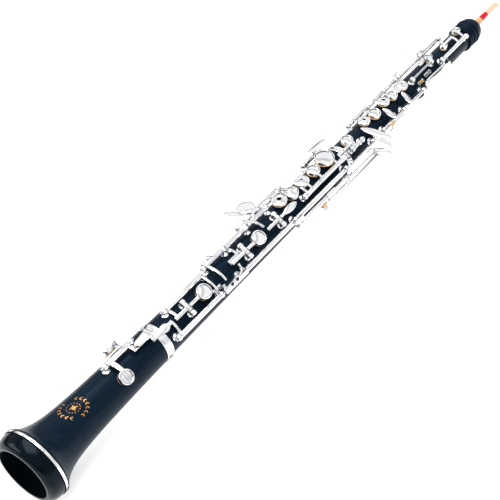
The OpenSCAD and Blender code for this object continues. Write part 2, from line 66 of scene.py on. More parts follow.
# ---- camera: places in metres, roll in degrees ----
LENS_MM = 79.2
CAMERA_AT = Vector((-0.2164, -0.4511, 0.5376))
CAMERA_TARGET = Vector((0.2450, -0.0008, 0.0))
CAMERA_ROLL = 11.65
CAMERA_NEAR = 0.01
CAMERA_FAR = 20


def make_camera():
    data = bpy.data.cameras.new("camera")
    data.lens = LENS_MM
    data.clip_start, data.clip_end = CAMERA_NEAR, CAMERA_FAR
    camera = bpy.data.objects.new("camera", data)
    bpy.context.scene.collection.objects.link(camera)
    look = (CAMERA_TARGET - CAMERA_AT).to_track_quat("-Z", "Y").to_matrix().to_4x4()
    roll = Matrix.Rotation(math.radians(-CAMERA_ROLL), 4, "Z")
    camera.matrix_world = Matrix.Translation(CAMERA_AT) @ look @ roll
    bpy.context.scene.camera = camera


make_camera()


# ---- materials ----
class Shader:
    """A material with a Principled shader and short calls that add nodes to it."""

    def __init__(self, name, **inputs):
        self.material = bpy.data.materials.new(name)
        self.material.use_nodes = True
        self.tree = self.material.node_tree
        self.bsdf = next(n for n in self.tree.nodes if n.type == "BSDF_PRINCIPLED")
        for key, value in inputs.items():
            self.bsdf.inputs[key.replace("_", " ")].default_value = value
        coordinates = self.tree.nodes.new("ShaderNodeTexCoord").outputs
        self.place, self.normal = coordinates["Object"], coordinates["Normal"]

    def node(self, kind, links=None, **settings):
        made = self.tree.nodes.new("ShaderNode" + kind)
        for key, value in settings.items():
            setattr(made, key, value)
        for socket, value in (links or {}).items():
            self.set(made.inputs[socket], value)
        return made

    def set(self, socket, value):
        if isinstance(value, bpy.types.NodeSocket):
            self.tree.links.new(value, socket)
        else:
            socket.default_value = value

    def stretched(self, scale):
        return self.node("Mapping", {"Vector": self.place, "Scale": scale}).outputs[0]

    def noise(self, scale, size=1.0, detail=4.0, rough=0.6):
        links = {"Vector": self.stretched(scale), "Scale": size}
        links.update({"Detail": detail, "Roughness": rough})
        return self.node("TexNoise", links).outputs["Fac"]

    def ramp(self, value, stops):
        made = self.node("ValToRGB", {"Fac": value})
        points = made.color_ramp.elements
        while len(points) < len(stops):
            points.new(0.5)
        for point, (where, colour) in zip(points, stops):
            point.position = where
            point.color = (*colour, 1)
        return made.outputs["Color"]

    def mask(self, value, none, full):
        links = {"Value": value, "From Min": none, "From Max": full}
        return self.node("MapRange", links).outputs["Result"]

    def span(self, value, low, high):
        links = {"Value": value, "To Min": low, "To Max": high}
        return self.node("MapRange", links).outputs["Result"]

    def mix(self, factor, a, b, mode="MIX"):
        made = self.node("Mix", data_type="RGBA", blend_type=mode)
        for socket, value in ((made.inputs[0], factor), (made.inputs[6], a), (made.inputs[7], b)):
            self.set(socket, value)
        return made.outputs[2]

    def mix_value(self, factor, a, b):
        return self.node("Mix", {0: factor, 2: a, 3: b}).outputs[0]

    def colour(self, value):
        self.set(self.bsdf.inputs["Base Color"], value)

    def roughness(self, value):
        self.set(self.bsdf.inputs["Roughness"], value)

    def bump(self, height, strength, depth):
        made = self.node("Bump", {"Height": height, "Strength": strength, "Distance": depth})
        self.set(self.bsdf.inputs["Normal"], made.outputs["Normal"])


# The bell's lip, glossier than the rest and darkened with painted shade, fades out between these two x
LIP_GLOSS_AND_SHADE_END_MM = (9.0, 11.0)
# Faces whose normal points at the bore this much are the bore's own, painted near black as shade and left
# without coat or gloss: where the mask starts and is full
BORE_SHADE_FACING = (-0.2, -0.6)
# Clear coat on the body and on the lip
BODY_COAT = 0.03
LIP_COAT = 0.09


def blackwood():
    s = Shader("blackwood", IOR=1.5, Specular_IOR_Level=0.08, Specular_Tint=(0.35, 0.72, 1.0, 1.0),
               Coat_Roughness=0.14, Coat_IOR=1.5, Coat_Tint=(0.6, 0.78, 1.0, 1.0))
    grain = s.noise((26, 900, 900), 1.0, 8, 0.65)
    streaks = s.noise((6, 160, 160), 1.0, 4, 0.5)
    dark = s.ramp(grain, [(0.3, (0.0018, 0.0044, 0.0086)), (0.7, (0.0050, 0.0128, 0.0235))])
    blue = s.ramp(streaks, [(0.35, (0.75, 0.9, 1.0)), (0.65, (1.0, 1.0, 1.0))])
    wood = s.mix(1.0, dark, blue, "MULTIPLY")
    outward = s.node("VectorMath", {0: s.place, 1: (0, 1, 1)}, operation="MULTIPLY").outputs[0]
    outward = s.node("VectorMath", {0: outward}, operation="NORMALIZE").outputs[0]
    facing = s.node("VectorMath", {0: outward, 1: s.normal}, operation="DOT_PRODUCT").outputs["Value"]
    bore = s.mask(facing, *BORE_SHADE_FACING)
    x = s.node("SeparateXYZ", {"Vector": s.place}).outputs["X"]
    lip = s.mask(x, LIP_GLOSS_AND_SHADE_END_MM[1] * MM, LIP_GLOSS_AND_SHADE_END_MM[0] * MM)
    # painted shade: the lip's colour is multiplied down to a dark blue-black
    wood = s.mix(lip, wood, s.mix(1.0, wood, (0.12, 0.14, 0.2, 1), "MULTIPLY"))
    # painted shade: the bore's own faces are coloured near black
    s.colour(s.mix(bore, wood, (0.0002, 0.0002, 0.0003, 1)))
    coat = s.mix_value(lip, BODY_COAT, LIP_COAT)
    s.set(s.bsdf.inputs["Coat Weight"], s.mix_value(bore, coat, 0.0))
    rough = s.mix_value(lip, s.span(grain, 0.24, 0.40), 0.18)
    s.roughness(s.mix_value(bore, rough, 0.85))
    s.bump(grain, 0.25, 0.00012)
    return s.material


def silver():
    # painted shade: the edge tint is set dark, so the metal darkens towards its outlines at grazing angles
    s = Shader("silver_plate", Metallic=1.0, Specular_Tint=(0.16, 0.17, 0.19, 1.0))
    cloud = s.noise((55, 55, 55), 1.0, 3)
    wear = s.noise((700, 900, 900), 1.0, 5, 0.7)
    s.colour(s.ramp(cloud, [(0.3, (0.88, 0.89, 0.905)), (0.7, (0.965, 0.965, 0.97))]))
    s.roughness(s.span(wear, 0.07, 0.17))
    s.bump(wear, 0.02, 0.00004)
    return s.material


def steel():
    s = Shader("steel", Metallic=1.0)
    turned = s.noise((2600, 150, 150), 1.0, 3)
    s.colour(s.ramp(turned, [(0.3, (0.46, 0.48, 0.52)), (0.7, (0.68, 0.70, 0.73))]))
    s.roughness(s.span(turned, 0.16, 0.3))
    return s.material


def blued_steel():
    s = Shader("blued_steel", Metallic=1.0)
    heat = s.noise((120, 300, 300), 1.0, 3)
    s.colour(s.ramp(heat, [(0.35, (0.035, 0.05, 0.16)), (0.65, (0.12, 0.10, 0.20))]))
    s.roughness(s.span(heat, 0.2, 0.35))
    return s.material


def pad_skin():
    s = Shader("pad_skin", IOR=1.45, Sheen_Weight=0.15, Coat_Weight=0.2, Coat_Roughness=0.3)
    fibre = s.noise((900, 900, 900), 1.0, 6, 0.7)
    s.colour(s.ramp(fibre, [
        (0.3, (0.62, 0.38, 0.19)), (0.55, (0.78, 0.55, 0.32)), (0.75, (0.86, 0.68, 0.45))]))
    s.roughness(s.span(fibre, 0.4, 0.6))
    s.bump(fibre, 0.3, 0.00008)
    return s.material


def cork():
    s = Shader("cork", IOR=1.4)
    pits = s.node("TexVoronoi", {"Vector": s.stretched((1500, 1500, 1500)), "Scale": 1.0})
    patches = s.noise((500, 500, 500), 1.0, 5, 0.65)
    base = s.ramp(patches, [
        (0.3, (0.42, 0.22, 0.10)), (0.5, (0.62, 0.37, 0.18)), (0.75, (0.74, 0.49, 0.27))])
    holes = s.ramp(pits.outputs["Distance"], [(0.0, (0.55, 0.5, 0.45)), (0.25, (1, 1, 1))])
    s.colour(s.mix(0.8, base, holes, "MULTIPLY"))
    s.roughness(s.span(patches, 0.7, 0.9))
    s.bump(pits.outputs["Distance"], 0.4, 0.00015)
    return s.material


def black_cork():
    s = Shader("black_cork", IOR=1.4)
    patches = s.noise((700, 700, 700), 1.0, 5, 0.65)
    s.colour(s.ramp(patches, [(0.3, (0.012, 0.011, 0.010)), (0.7, (0.045, 0.040, 0.036))]))
    s.roughness(s.span(patches, 0.7, 0.9))
    s.bump(patches, 0.4, 0.0001)
    return s.material


# A near-black material that paints the shade inside the finger holes, the ring's grooves and the screw
# seats
def shade_lining():
    s = Shader("shade_lining", IOR=1.3, Specular_IOR_Level=0.1)
    shade_noise = s.noise((900, 900, 900), 1.0, 3)
    s.colour(s.ramp(shade_noise, [(0.3, (0.002, 0.002, 0.003)), (0.7, (0.006, 0.006, 0.008))]))
    s.roughness(0.7)
    return s.material


def brass():
    s = Shader("staple_brass", Metallic=1.0)
    cloud = s.noise((300, 300, 300), 1.0, 4)
    s.colour(s.ramp(cloud, [(0.3, (0.72, 0.50, 0.20)), (0.7, (0.86, 0.64, 0.30))]))
    s.roughness(s.span(cloud, 0.16, 0.28))
    return s.material


def thread():
    s = Shader("thread", IOR=1.45, Specular_IOR_Level=0.35)
    twist = s.noise((1800, 5000, 5000), 1.0, 4)
    s.colour(s.ramp(twist, [(0.3, (0.36, 0.001, 0.006)), (0.7, (0.74, 0.004, 0.02))]))
    s.roughness(s.span(twist, 0.35, 0.55))
    s.bump(twist, 0.4, 0.00006)
    return s.material


def cane():
    s = Shader("cane", IOR=1.45, Coat_Weight=0.1, Coat_Roughness=0.3)
    fibre = s.noise((90, 3500, 3500), 1.0, 6, 0.7)
    s.colour(s.ramp(fibre, [
        (0.3, (0.52, 0.37, 0.24)), (0.6, (0.66, 0.51, 0.37)), (0.8, (0.72, 0.60, 0.47))]))
    s.roughness(s.span(fibre, 0.45, 0.65))
    s.bump(fibre, 0.3, 0.00008)
    return s.material


def gold_leaf():
    s = Shader("gold_leaf", Metallic=0.85)
    flake = s.noise((1400, 1400, 1400), 1.0, 5, 0.7)
    s.colour(s.ramp(flake, [
        (0.3, (0.30, 0.11, 0.03)), (0.5, (0.55, 0.26, 0.08)), (0.75, (0.72, 0.42, 0.16))]))
    s.roughness(s.span(flake, 0.3, 0.5))
    s.bump(flake, 0.3, 0.00005)
    return s.material


FINISHES = {
    "blackwood": blackwood(), "silver_plate": silver(), "steel": steel(), "pad_skin": pad_skin(),
    "cork": cork(), "staple_brass": brass(), "thread": thread(), "cane": cane()}
BLUED = blued_steel()
BLACK_CORK = black_cork()
GOLD = gold_leaf()
SHADE_LINING = shade_lining()


def paint(obj, material):
    obj.data.materials.clear()
    obj.data.materials.append(material)


SLOT_OF = {part["node"]: part["material_slot"] for part in frame["record"]["subparts"]}
for name, obj in frame["nodes"].items():
    paint(obj, FINISHES[SLOT_OF[name]])
paint(frame["nodes"]["needle_springs"], BLUED)


# ---- rounded edges on the metal, and smooth shading everywhere ----
# Edges that turn less than this many degrees are shaded smooth, and sharper ones are rounded
SMOOTH_UNDER = 32
# Flat faces that differ by less than this many degrees are joined before the rounding
FLAT_UNDER = 0.5
# Corners nearer than this, in metres, are one corner
WELD = 1e-6


def smooth_group():
    """A node group that smooths the shading across edges flatter than SMOOTH_UNDER degrees."""
    group = bpy.data.node_groups.new("smooth_by_angle", "GeometryNodeTree")
    for way in ("INPUT", "OUTPUT"):
        group.interface.new_socket("Geometry", in_out=way, socket_type="NodeSocketGeometry")
    make, join = group.nodes.new, group.links.new
    start, end = make("NodeGroupInput"), make("NodeGroupOutput")
    bare = make("GeometryNodeRemoveAttribute")
    bare.inputs["Name"].default_value = "custom_normal"
    faces, edges = make("GeometryNodeSetShadeSmooth"), make("GeometryNodeSetShadeSmooth")
    edges.domain = "EDGE"
    angle, flat = make("GeometryNodeInputMeshEdgeAngle"), make("FunctionNodeCompare")
    flat.operation = "LESS_EQUAL"
    flat.inputs["B"].default_value = math.radians(SMOOTH_UNDER)
    join(start.outputs[0], bare.inputs["Geometry"])
    join(bare.outputs["Geometry"], faces.inputs["Geometry"])
    join(faces.outputs["Geometry"], edges.inputs["Geometry"])
    join(angle.outputs["Unsigned Angle"], flat.inputs["A"])
    join(flat.outputs["Result"], edges.inputs["Shade Smooth"])
    join(edges.outputs["Geometry"], end.inputs[0])
    return group


SMOOTH = smooth_group()


def polish(obj, edge_mm=0.0):
    """Welds a mesh, rounds its sharp edges where edge_mm is given, and smooths the rest."""
    weld = obj.modifiers.new("weld", "WELD")
    weld.merge_threshold = WELD
    if edge_mm:
        flats = obj.modifiers.new("flats", "DECIMATE")
        flats.decimate_type = "DISSOLVE"
        flats.angle_limit = math.radians(FLAT_UNDER)
        round_off = obj.modifiers.new("round_edges", "BEVEL")
        round_off.width = edge_mm * MM
        round_off.segments = 2
        round_off.limit_method = "ANGLE"
        round_off.angle_limit = math.radians(SMOOTH_UNDER)
        round_off.use_clamp_overlap = False
    shade = obj.modifiers.new("smooth_by_angle", "NODES")
    shade.node_group = SMOOTH


# Widths of the rounding that are tried on the metal's edges, the widest first
ROUNDINGS_MM = (0.22, 0.15, 0.1, 0.06)
# How far from its CAD surface a rounded corner may end
STRAY_MM = 0.4


def strays(obj, surface, depsgraph):
    """Whether the rounding has thrown a corner of the mesh off its CAD surface."""
    rounded = obj.evaluated_get(depsgraph)
    corners = [v.co.copy() for v in rounded.to_mesh().vertices]
    rounded.to_mesh_clear()
    return any((surface.find_nearest(corner)[3] or 0) > STRAY_MM * MM for corner in corners)


def round_metal():
    """Gives each metal node the widest rounding that leaves no spikes, or none."""
    waiting = []
    for name, obj in frame["nodes"].items():
        metal = SLOT_OF[name] == "silver_plate"
        polish(obj, ROUNDINGS_MM[0] if metal else 0.0)
        if metal:
            faces = [list(face.vertices) for face in obj.data.polygons]
            waiting.append((obj, BVHTree.FromPolygons([v.co for v in obj.data.vertices], faces)))
    for width in ROUNDINGS_MM:
        for obj, _ in waiting:
            obj.modifiers["round_edges"].width = width * MM
        depsgraph = bpy.context.evaluated_depsgraph_get()
        waiting = [(obj, surface) for obj, surface in waiting if strays(obj, surface, depsgraph)]
    for obj, _ in waiting:
        obj.modifiers.remove(obj.modifiers["round_edges"])


round_metal()


# ---- places round the bore and the solids of a node ----
BODY_OF = {node: body for body, nodes in frame["record"]["behaviour"]["bodies"].items() for node in nodes}
FIXED = BODY_OF["bell"]


def at(x, angle, radius):
    """The place at x mm along the bore and radius mm from it; 0 degrees is +Z and positive turns to -Y."""
    return Matrix.Rotation(math.radians(angle), 4, "X") @ Matrix.Translation((x * MM, 0, radius * MM))


def solids(node):
    """The corners of each separate solid in a CAD node."""
    made = bmesh.new()
    made.from_mesh(frame["nodes"][node].data)
    bmesh.ops.remove_doubles(made, verts=made.verts, dist=WELD)
    found, seen = [], set()
    for start in made.verts:
        if start in seen:
            continue
        group, front = [], [start]
        seen.add(start)
        while front:
            corner = front.pop()
            group.append(corner.co.copy())
            for edge in corner.link_edges:
                other = edge.other_vert(corner)
                if other not in seen:
                    seen.add(other)
                    front.append(other)
        found.append(group)
    made.free()
    return found


# A disc whose nearest corner to its middle is nearer than this has no hole, in mm
SMALLEST_HOLE = 0.5


def disc_of(corners):
    """Where a round flat solid over the bore is.

    Gives its frame at its lower face, then its radius, its hole's radius and its height in mm.
    """
    middle = sum(corners, Vector()) / len(corners)
    up = Vector((0, middle.y, middle.z)).normalized()
    heights = [(c - middle).dot(up) for c in corners]
    flat = [(c - middle - up * h).length for c, h in zip(corners, heights)]
    side = Vector((1, 0, 0)).cross(up)
    turn = Matrix((Vector((1, 0, 0)), -side, up)).transposed().to_4x4()
    place = Matrix.Translation(middle + up * min(heights)) @ turn
    hole = min(flat) / MM
    hole = hole if hole > SMALLEST_HOLE else 0.0
    return place, max(flat) / MM, hole, (max(heights) - min(heights)) / MM


# ---- making pieces ----
def add_piece(name, mesh_or_bmesh, body, slot, material=None, edge_mm=0.0, stands_for=()):
    """Links a mesh as a piece that moves with a body and takes its finish from a material slot."""
    data = mesh_or_bmesh
    if isinstance(data, bmesh.types.BMesh):
        bmesh.ops.recalc_face_normals(data, faces=data.faces)
        data = bpy.data.meshes.new(name)
        mesh_or_bmesh.to_mesh(data)
        mesh_or_bmesh.free()
    obj = bpy.data.objects.new(name, data)
    bpy.context.scene.collection.objects.link(obj)
    paint(obj, material or FINISHES[slot])
    polish(obj, edge_mm)
    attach(obj, body)
    if stands_for:
        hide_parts(*stands_for)
    return obj


def lathe(made, outline, place, steps=40):
    """Adds a closed solid turned about local Z.

    The outline is (radius, height) in mm. It starts and ends on the axis, or it closes on itself.
    """
    closed = outline[0][0] > 0
    rings = []
    for radius, height in outline:
        if radius <= 0:
            rings.append([made.verts.new(place @ Vector((0, 0, height * MM)))])
            continue
        turns = [2 * math.pi * k / steps for k in range(steps)]
        points = [Vector((radius * math.cos(a), radius * math.sin(a), height)) * MM for a in turns]
        rings.append([made.verts.new(place @ p) for p in points])
    pairs = list(zip(rings, rings[1:] + rings[:1])) if closed else list(zip(rings, rings[1:]))
    for low, high in pairs:
        for k in range(steps):
            n = (k + 1) % steps
            corners = [low[k % len(low)], low[n % len(low)], high[n % len(high)], high[k % len(high)]]
            made.faces.new(list(dict.fromkeys(corners)))


def prism(made, outline, place, low, high):
    """Adds a straight solid on an outline of (x, y) in mm, from height low to height high."""
    count = len(outline)
    bottom = [made.verts.new(place @ (Vector((x, y, low)) * MM)) for x, y in outline]
    top = [made.verts.new(place @ (Vector((x, y, high)) * MM)) for x, y in outline]
    made.faces.new(bottom[::-1])
    made.faces.new(top)
    for k in range(count):
        n = (k + 1) % count
        made.faces.new((bottom[k], bottom[n], top[n], top[k]))


# How high the floor of a screw's slot is, as a share of its head
SLOT_FLOOR = 0.4


def slotted_head(made, place, radius, height, slot=0.32):
    """Adds a screw head with a straight slot across it."""
    floor = height * SLOT_FLOOR
    lathe(made, [(0, 0), (radius, 0), (radius, floor), (0, floor)], place, 24)
    half = math.asin(slot / 2 / radius)
    for side in (0, math.pi):
        arc = [side + half + (math.pi - 2 * half) * k / 12 for k in range(13)]
        prism(made, [(radius * math.cos(a), radius * math.sin(a)) for a in arc], place, floor * 0.9, height)


# ---- pads ----
def pad_outline(radius, hole, height):
    """A skin pad's section: a flat face, a soft round rim, and a rolled edge round any hole."""
    rim = [(radius - 0.9, 0.0), (radius - 0.4, 0.1), (radius - 0.1, 0.4), (radius, 0.85)]
    rim += [(radius - 0.08, height - 0.15), (radius - 0.3, height)]
    if hole:
        return [(hole, 0.35), (hole + 0.15, 0.08), (hole + 0.5, 0.0), *rim, (hole, height)]
    return [(0, 0.1), (radius * 0.45, 0.06), *rim, (0, height)]


# How far some pads keep inside the edge of their cups, in mm
PAD_INSET = {
    "bell_key_pads": 0.9, "low_b_pad": 0.7, "low_c_pad": 0.7, "csharp_pad": 0.7, "eflat_pad": 0.7}


def make_skirts(node):
    """The deep walls of the cups whose pads sit far inside them."""
    made = bmesh.new()
    for corners in solids(node):
        place, radius, _, height = disc_of(corners)
        inner, outer = radius - PAD_INSET[node], radius + 0.25
        lathe(made, [(inner + 0.1, 0.55), (outer - 0.3, 0.5), (outer - 0.05, 0.65), (outer, 1.0),
                     (outer, height + 0.2), (inner + 0.1, height + 0.2)], place)
    return made


def make_pads():
    for node in sorted(n for n in frame["nodes"] if SLOT_OF[n] == "pad_skin"):
        made = bmesh.new()
        for corners in solids(node):
            place, radius, hole, height = disc_of(corners)
            lathe(made, pad_outline(radius - PAD_INSET.get(node, 0), hole, height), place)
        add_piece("skin_" + node, made, BODY_OF[node], "pad_skin", stands_for=(node,))
        if node in PAD_INSET:
            add_piece("skirt_" + node, make_skirts(node), BODY_OF[node], "silver_plate")


# ---- rings of the finger holes, and dark linings that paint the shade inside them ----
# The cup over a pad: its wall, its dome's rise, and the width of the lip round its hole, in mm
CUP_WALL = 1.7
CUP_DOME = 0.7
LIP_WIDTH = 0.75


def make_finger_holes():
    for node in sorted(n for n in frame["nodes"] if SLOT_OF[n] == "pad_skin"):
        for count, corners in enumerate(solids(node)):
            place, radius, hole, height = disc_of(corners)
            if not hole:
                continue
            top = height + CUP_WALL + CUP_DOME
            lip = bmesh.new()
            outer = hole + LIP_WIDTH
            lathe(lip, [(hole - 0.12, top - 1.2), (hole - 0.12, top + 0.1), (hole + 0.15, top + 0.32),
                        (outer - 0.15, top + 0.32), (outer, top + 0.12), (outer + 0.1, top - 0.4)], place)
            body = BODY_OF[node]
            add_piece(f"hole_lip_{node}_{count}", lip, body, "silver_plate")
            # painted shade: a near-black lining fills the hole below its lip
            lining = bmesh.new()
            lathe(lining, [(0, 0.5), (hole - 0.12, 0.5), (hole - 0.12, top - 0.3), (hole - 0.3, top - 0.3),
                           (hole - 0.3, 0.9), (0, 0.9)], place, 24)
            add_piece(f"shade_lining_{node}_{count}", lining, body, "blackwood", SHADE_LINING)


# Raised rings on the plates: [pad node, ring radius, half width, drop below the cup's top], in mm
PLATE_RINGS = (("d_pad", 4.3, 0.42, 0.25), ("b_pad", 3.9, 0.3, 0.25))


def make_plate_rings():
    for node, radius, half, drop in PLATE_RINGS:
        place, _, _, height = disc_of(solids(node)[0])
        top = height + CUP_WALL + CUP_DOME - drop
        made = bmesh.new()
        arc = [math.pi * k / 6 for k in range(7)]
        outline = [(radius - half * math.cos(a), top + 0.3 * math.sin(a)) for a in arc]
        lathe(made, [(radius - half, top - 0.8), *outline, (radius + half, top - 0.8)], place)
        add_piece("ring_on_" + node, made, BODY_OF[node], "silver_plate")


# ---- screws ----
# Axles shorter than this are pivots and get no heads, in mm
LONG_AXLE = 12
AXLE_HEAD_R = 1.25
AXLE_HEAD_HEIGHT = 0.75
AXLE_HEAD_GAP = 0.2


def make_axle_heads():
    """A slotted head in each end of the long hinge axles."""
    made = bmesh.new()
    for node in ("lower_axles", "upper_axles"):
        for corners in solids(node):
            low, high = min(c.x for c in corners), max(c.x for c in corners)
            if (high - low) < LONG_AXLE * MM:
                continue
            middle = sum(corners, Vector()) / len(corners)
            for x, turn in ((low, -90), (high, 90)):
                place = Matrix.Translation((x, middle.y, middle.z))
                place = place @ Matrix.Rotation(math.radians(turn), 4, "Y")
                spin = Matrix.Rotation(x * 900, 4, "Z")
                out = Matrix.Translation((0, 0, AXLE_HEAD_GAP * MM))
                slotted_head(made, place @ spin @ out, AXLE_HEAD_R, AXLE_HEAD_HEIGHT)
    add_piece("hinge_screw_heads", made, FIXED, "steel", edge_mm=0.05)


# ---- round wires ----
def add_wire(name, points, radius, body, slot):
    """A round wire of radius mm through points in metres, that moves with a body."""
    curve = bpy.data.curves.new(name, "CURVE")
    curve.dimensions = "3D"
    curve.bevel_depth = radius * MM
    curve.bevel_resolution = 2
    spline = curve.splines.new("POLY")
    spline.points.add(len(points) - 1)
    for point, place in zip(spline.points, points):
        point.co = (*place, 1)
    obj = bpy.data.objects.new(name, curve)
    bpy.context.scene.collection.objects.link(obj)
    paint(obj, FINISHES[slot])
    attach(obj, body)


# ---- reed ----
THREAD_R = 0.26
# The room that one turn of thread takes, as a share of its thickness, and the points on each turn
THREAD_PITCH = 1.04
THREAD_STEPS = 16
# How much the winding narrows towards the cane, in mm
WINDING_TAPER = 0.55
# The winding is slimmer and shorter than the plain solid that it stands for
WINDING_SLIM = 0.35
WINDING_SHARE = 0.9
# How far below the low end of the cane's CAD solid the blades start
BLADE_START = -3.0
BLADE_STEPS = 28
BLADE_SIDES = 24


def make_winding():
    """The red thread, wound side by side from the low end of its CAD solid, over most of its length."""
    low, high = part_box("reed_thread")
    radius = (high.y - low.y) / 2 / MM - THREAD_R - WINDING_SLIM
    length = (high.x - low.x) / MM * WINDING_SHARE - 2 * THREAD_R
    turns = int(length / (2 * THREAD_R * THREAD_PITCH))
    steps = turns * THREAD_STEPS
    points = []
    for k in range(steps + 1):
        along = k / steps
        swell = radius - WINDING_TAPER * along ** 3
        turn = 2 * math.pi * turns * along
        x = low.x + (THREAD_R + length * along) * MM
        points.append((x, swell * math.cos(turn) * MM, swell * math.sin(turn) * MM))
    add_wire("reed_winding", points, THREAD_R, FIXED, "thread")
    core = bmesh.new()
    place = Matrix.Translation((low.x, 0, 0)) @ Matrix.Rotation(math.pi / 2, 4, "Y")
    lathe(core, [(0, 0), (radius - 0.05, 0), (radius - 0.2, length * 0.6), (radius - 0.6, length),
                 (0, length)], place)
    add_piece("winding_core", core, FIXED, "thread", stands_for=("reed_thread",))


def make_blades():
    """Two cane blades, from a round stock to a thin curved tip with a narrow opening."""
    low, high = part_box("reed_cane")
    low.x += BLADE_START * MM
    root = (high.z - low.z) / 2 / MM
    half_tip = (high.y - low.y) / 2 / MM
    length = (high.x - low.x) / MM
    for side in (1, -1):
        made = bmesh.new()
        rows = []
        for k in range(BLADE_STEPS + 1):
            u = k / BLADE_STEPS
            spread = root - 0.15 + (half_tip - root + 0.15) * (1 - (1 - u) ** 1.5)
            lift = root * (1 - u) ** 1.15 + 0.62 * u
            wall = 0.62 * (1 - u) + 0.1 if u < 0.45 else 0.44 - 0.52 * (u - 0.45)
            x = low.x + length * u * MM
            row = []
            for skin in (0, -wall):
                for s in range(BLADE_SIDES + 1):
                    turn = math.pi * s / BLADE_SIDES
                    y = spread * math.cos(turn)
                    z = max(lift + skin, 0.03) * math.sin(turn) ** 0.85 if 0 < s < BLADE_SIDES else 0
                    tip = -0.25 * abs(math.cos(turn)) ** 6 * u
                    row.append(made.verts.new((x + tip * MM, y * MM, side * (z + 0.03) * MM)))
            rows.append(row)
        count = BLADE_SIDES + 1
        for low_row, high_row in zip(rows, rows[1:]):
            for s in range(BLADE_SIDES):
                made.faces.new((low_row[s], low_row[s + 1], high_row[s + 1], high_row[s]))
                a, b = count + s, count + s + 1
                made.faces.new((low_row[b], low_row[a], high_row[a], high_row[b]))
            for s in (0, BLADE_SIDES):
                made.faces.new((low_row[s], high_row[s], high_row[count + s], low_row[count + s]))
        for row in (rows[0], rows[-1]):
            for s in range(BLADE_SIDES):
                made.faces.new((row[s], row[s + 1], row[count + s + 1], row[count + s]))
        stands_for = ("reed_cane",) if side > 0 else ()
        name = "upper_blade" if side > 0 else "lower_blade"
        add_piece(name, made, FIXED, "cane", stands_for=stands_for)


# ---- ornament on the bell: sizes in mm, angles in degrees ----
ORNAMENT_X = 50
ORNAMENT_ANGLE = 12
ORNAMENT_R = 9.5
ORNAMENT_TURN = 25
ORNAMENT_SQUASH = 0.8
LEAF_THICK = 0.05
# How deep the ornament's shapes reach into the bell
LEAF_ROOT = 0.12
# Pairs of leaves on each side of the wreath, the first one's angle from its foot, and the step between them
WREATH_PAIRS = 7
WREATH_START = 22
WREATH_STEP = 21
STAR_RAYS = 8
BEADS = 14
BEAD_R = 0.38
BEAD_RING_R = 4.8


def bell_surface():
    """How far the bell's outside is from the bore at any x, from the corners of its mesh."""
    outer = {}
    for corner in frame["nodes"]["bell"].data.vertices:
        x, r = round(corner.co.x / MM, 1), math.hypot(corner.co.y, corner.co.z) / MM
        outer[x] = max(outer.get(x, 0), r)
    profile = sorted((x, r) for x, r in outer.items() if r > 14)

    def radius(x):
        for (xa, ra), (xb, rb) in zip(profile, profile[1:]):
            if xa <= x <= xb:
                return ra + (rb - ra) * (x - xa) / max(xb - xa, 1e-6)
        return profile[-1][1]
    return radius


def leaf_outline(length, width, steps=7):
    """A pointed oval from (0, 0) to (length, 0)."""
    half = []
    for k in range(steps + 1):
        half.append((length * k / steps, width / 2 * math.sin(math.pi * k / steps) ** 0.8))
    return half + [(x, -y) for x, y in reversed(half[1:-1])]


def ornament_shapes():
    """Outlines in the ornament's own plane: a wreath of leaves, a circle of beads and a star."""
    shapes = []

    def put(outline, x, y, turn):
        c, s = math.cos(turn), math.sin(turn)
        shapes.append([(x + c * px - s * py, y + s * px + c * py) for px, py in outline])

    for side in (1, -1):
        for k in range(WREATH_PAIRS):
            place = math.radians(-90 + side * (WREATH_START + WREATH_STEP * k))
            x, y = ORNAMENT_R * math.cos(place), ORNAMENT_R * math.sin(place)
            along = place + side * math.pi / 2
            for lean in (-0.6, 0.5):
                put(leaf_outline(2.6, 0.85), x, y, along + side * lean)
    for k in range(STAR_RAYS):
        put(leaf_outline(3.4 if k % 2 == 0 else 2.2, 0.75), 0.25, 0, math.pi * k / 4)
    for k in range(BEADS):
        place = 2 * math.pi * (k + 0.5) / BEADS
        corners = [math.pi * m / 4 for m in range(8)]
        bead = [(BEAD_R * math.cos(a), BEAD_R * math.sin(a)) for a in corners]
        put(bead, BEAD_RING_R * math.cos(place), BEAD_RING_R * math.sin(place), 0)
    return shapes


def make_ornament():
    radius = bell_surface()
    made = bmesh.new()
    turn = math.radians(ORNAMENT_TURN)
    for outline in ornament_shapes():
        sheets = []
        for rise in (-LEAF_ROOT, LEAF_THICK):
            sheet = []
            for px, py in outline:
                flat = py * ORNAMENT_SQUASH
                along = px * math.cos(turn) - flat * math.sin(turn)
                across = px * math.sin(turn) + flat * math.cos(turn)
                x = ORNAMENT_X + along
                r = radius(x)
                angle = ORNAMENT_ANGLE + math.degrees(across / r)
                sheet.append(made.verts.new(at(x, angle, r + rise) @ Vector()))
            sheets.append(sheet)
        made.faces.new(sheets[0][::-1])
        made.faces.new(sheets[1])
        count = len(outline)
        for k in range(count):
            n = (k + 1) % count
            made.faces.new((sheets[0][k], sheets[0][n], sheets[1][n], sheets[1][k]))
    add_piece("bell_ornament", made, FIXED, "staple_brass", GOLD)


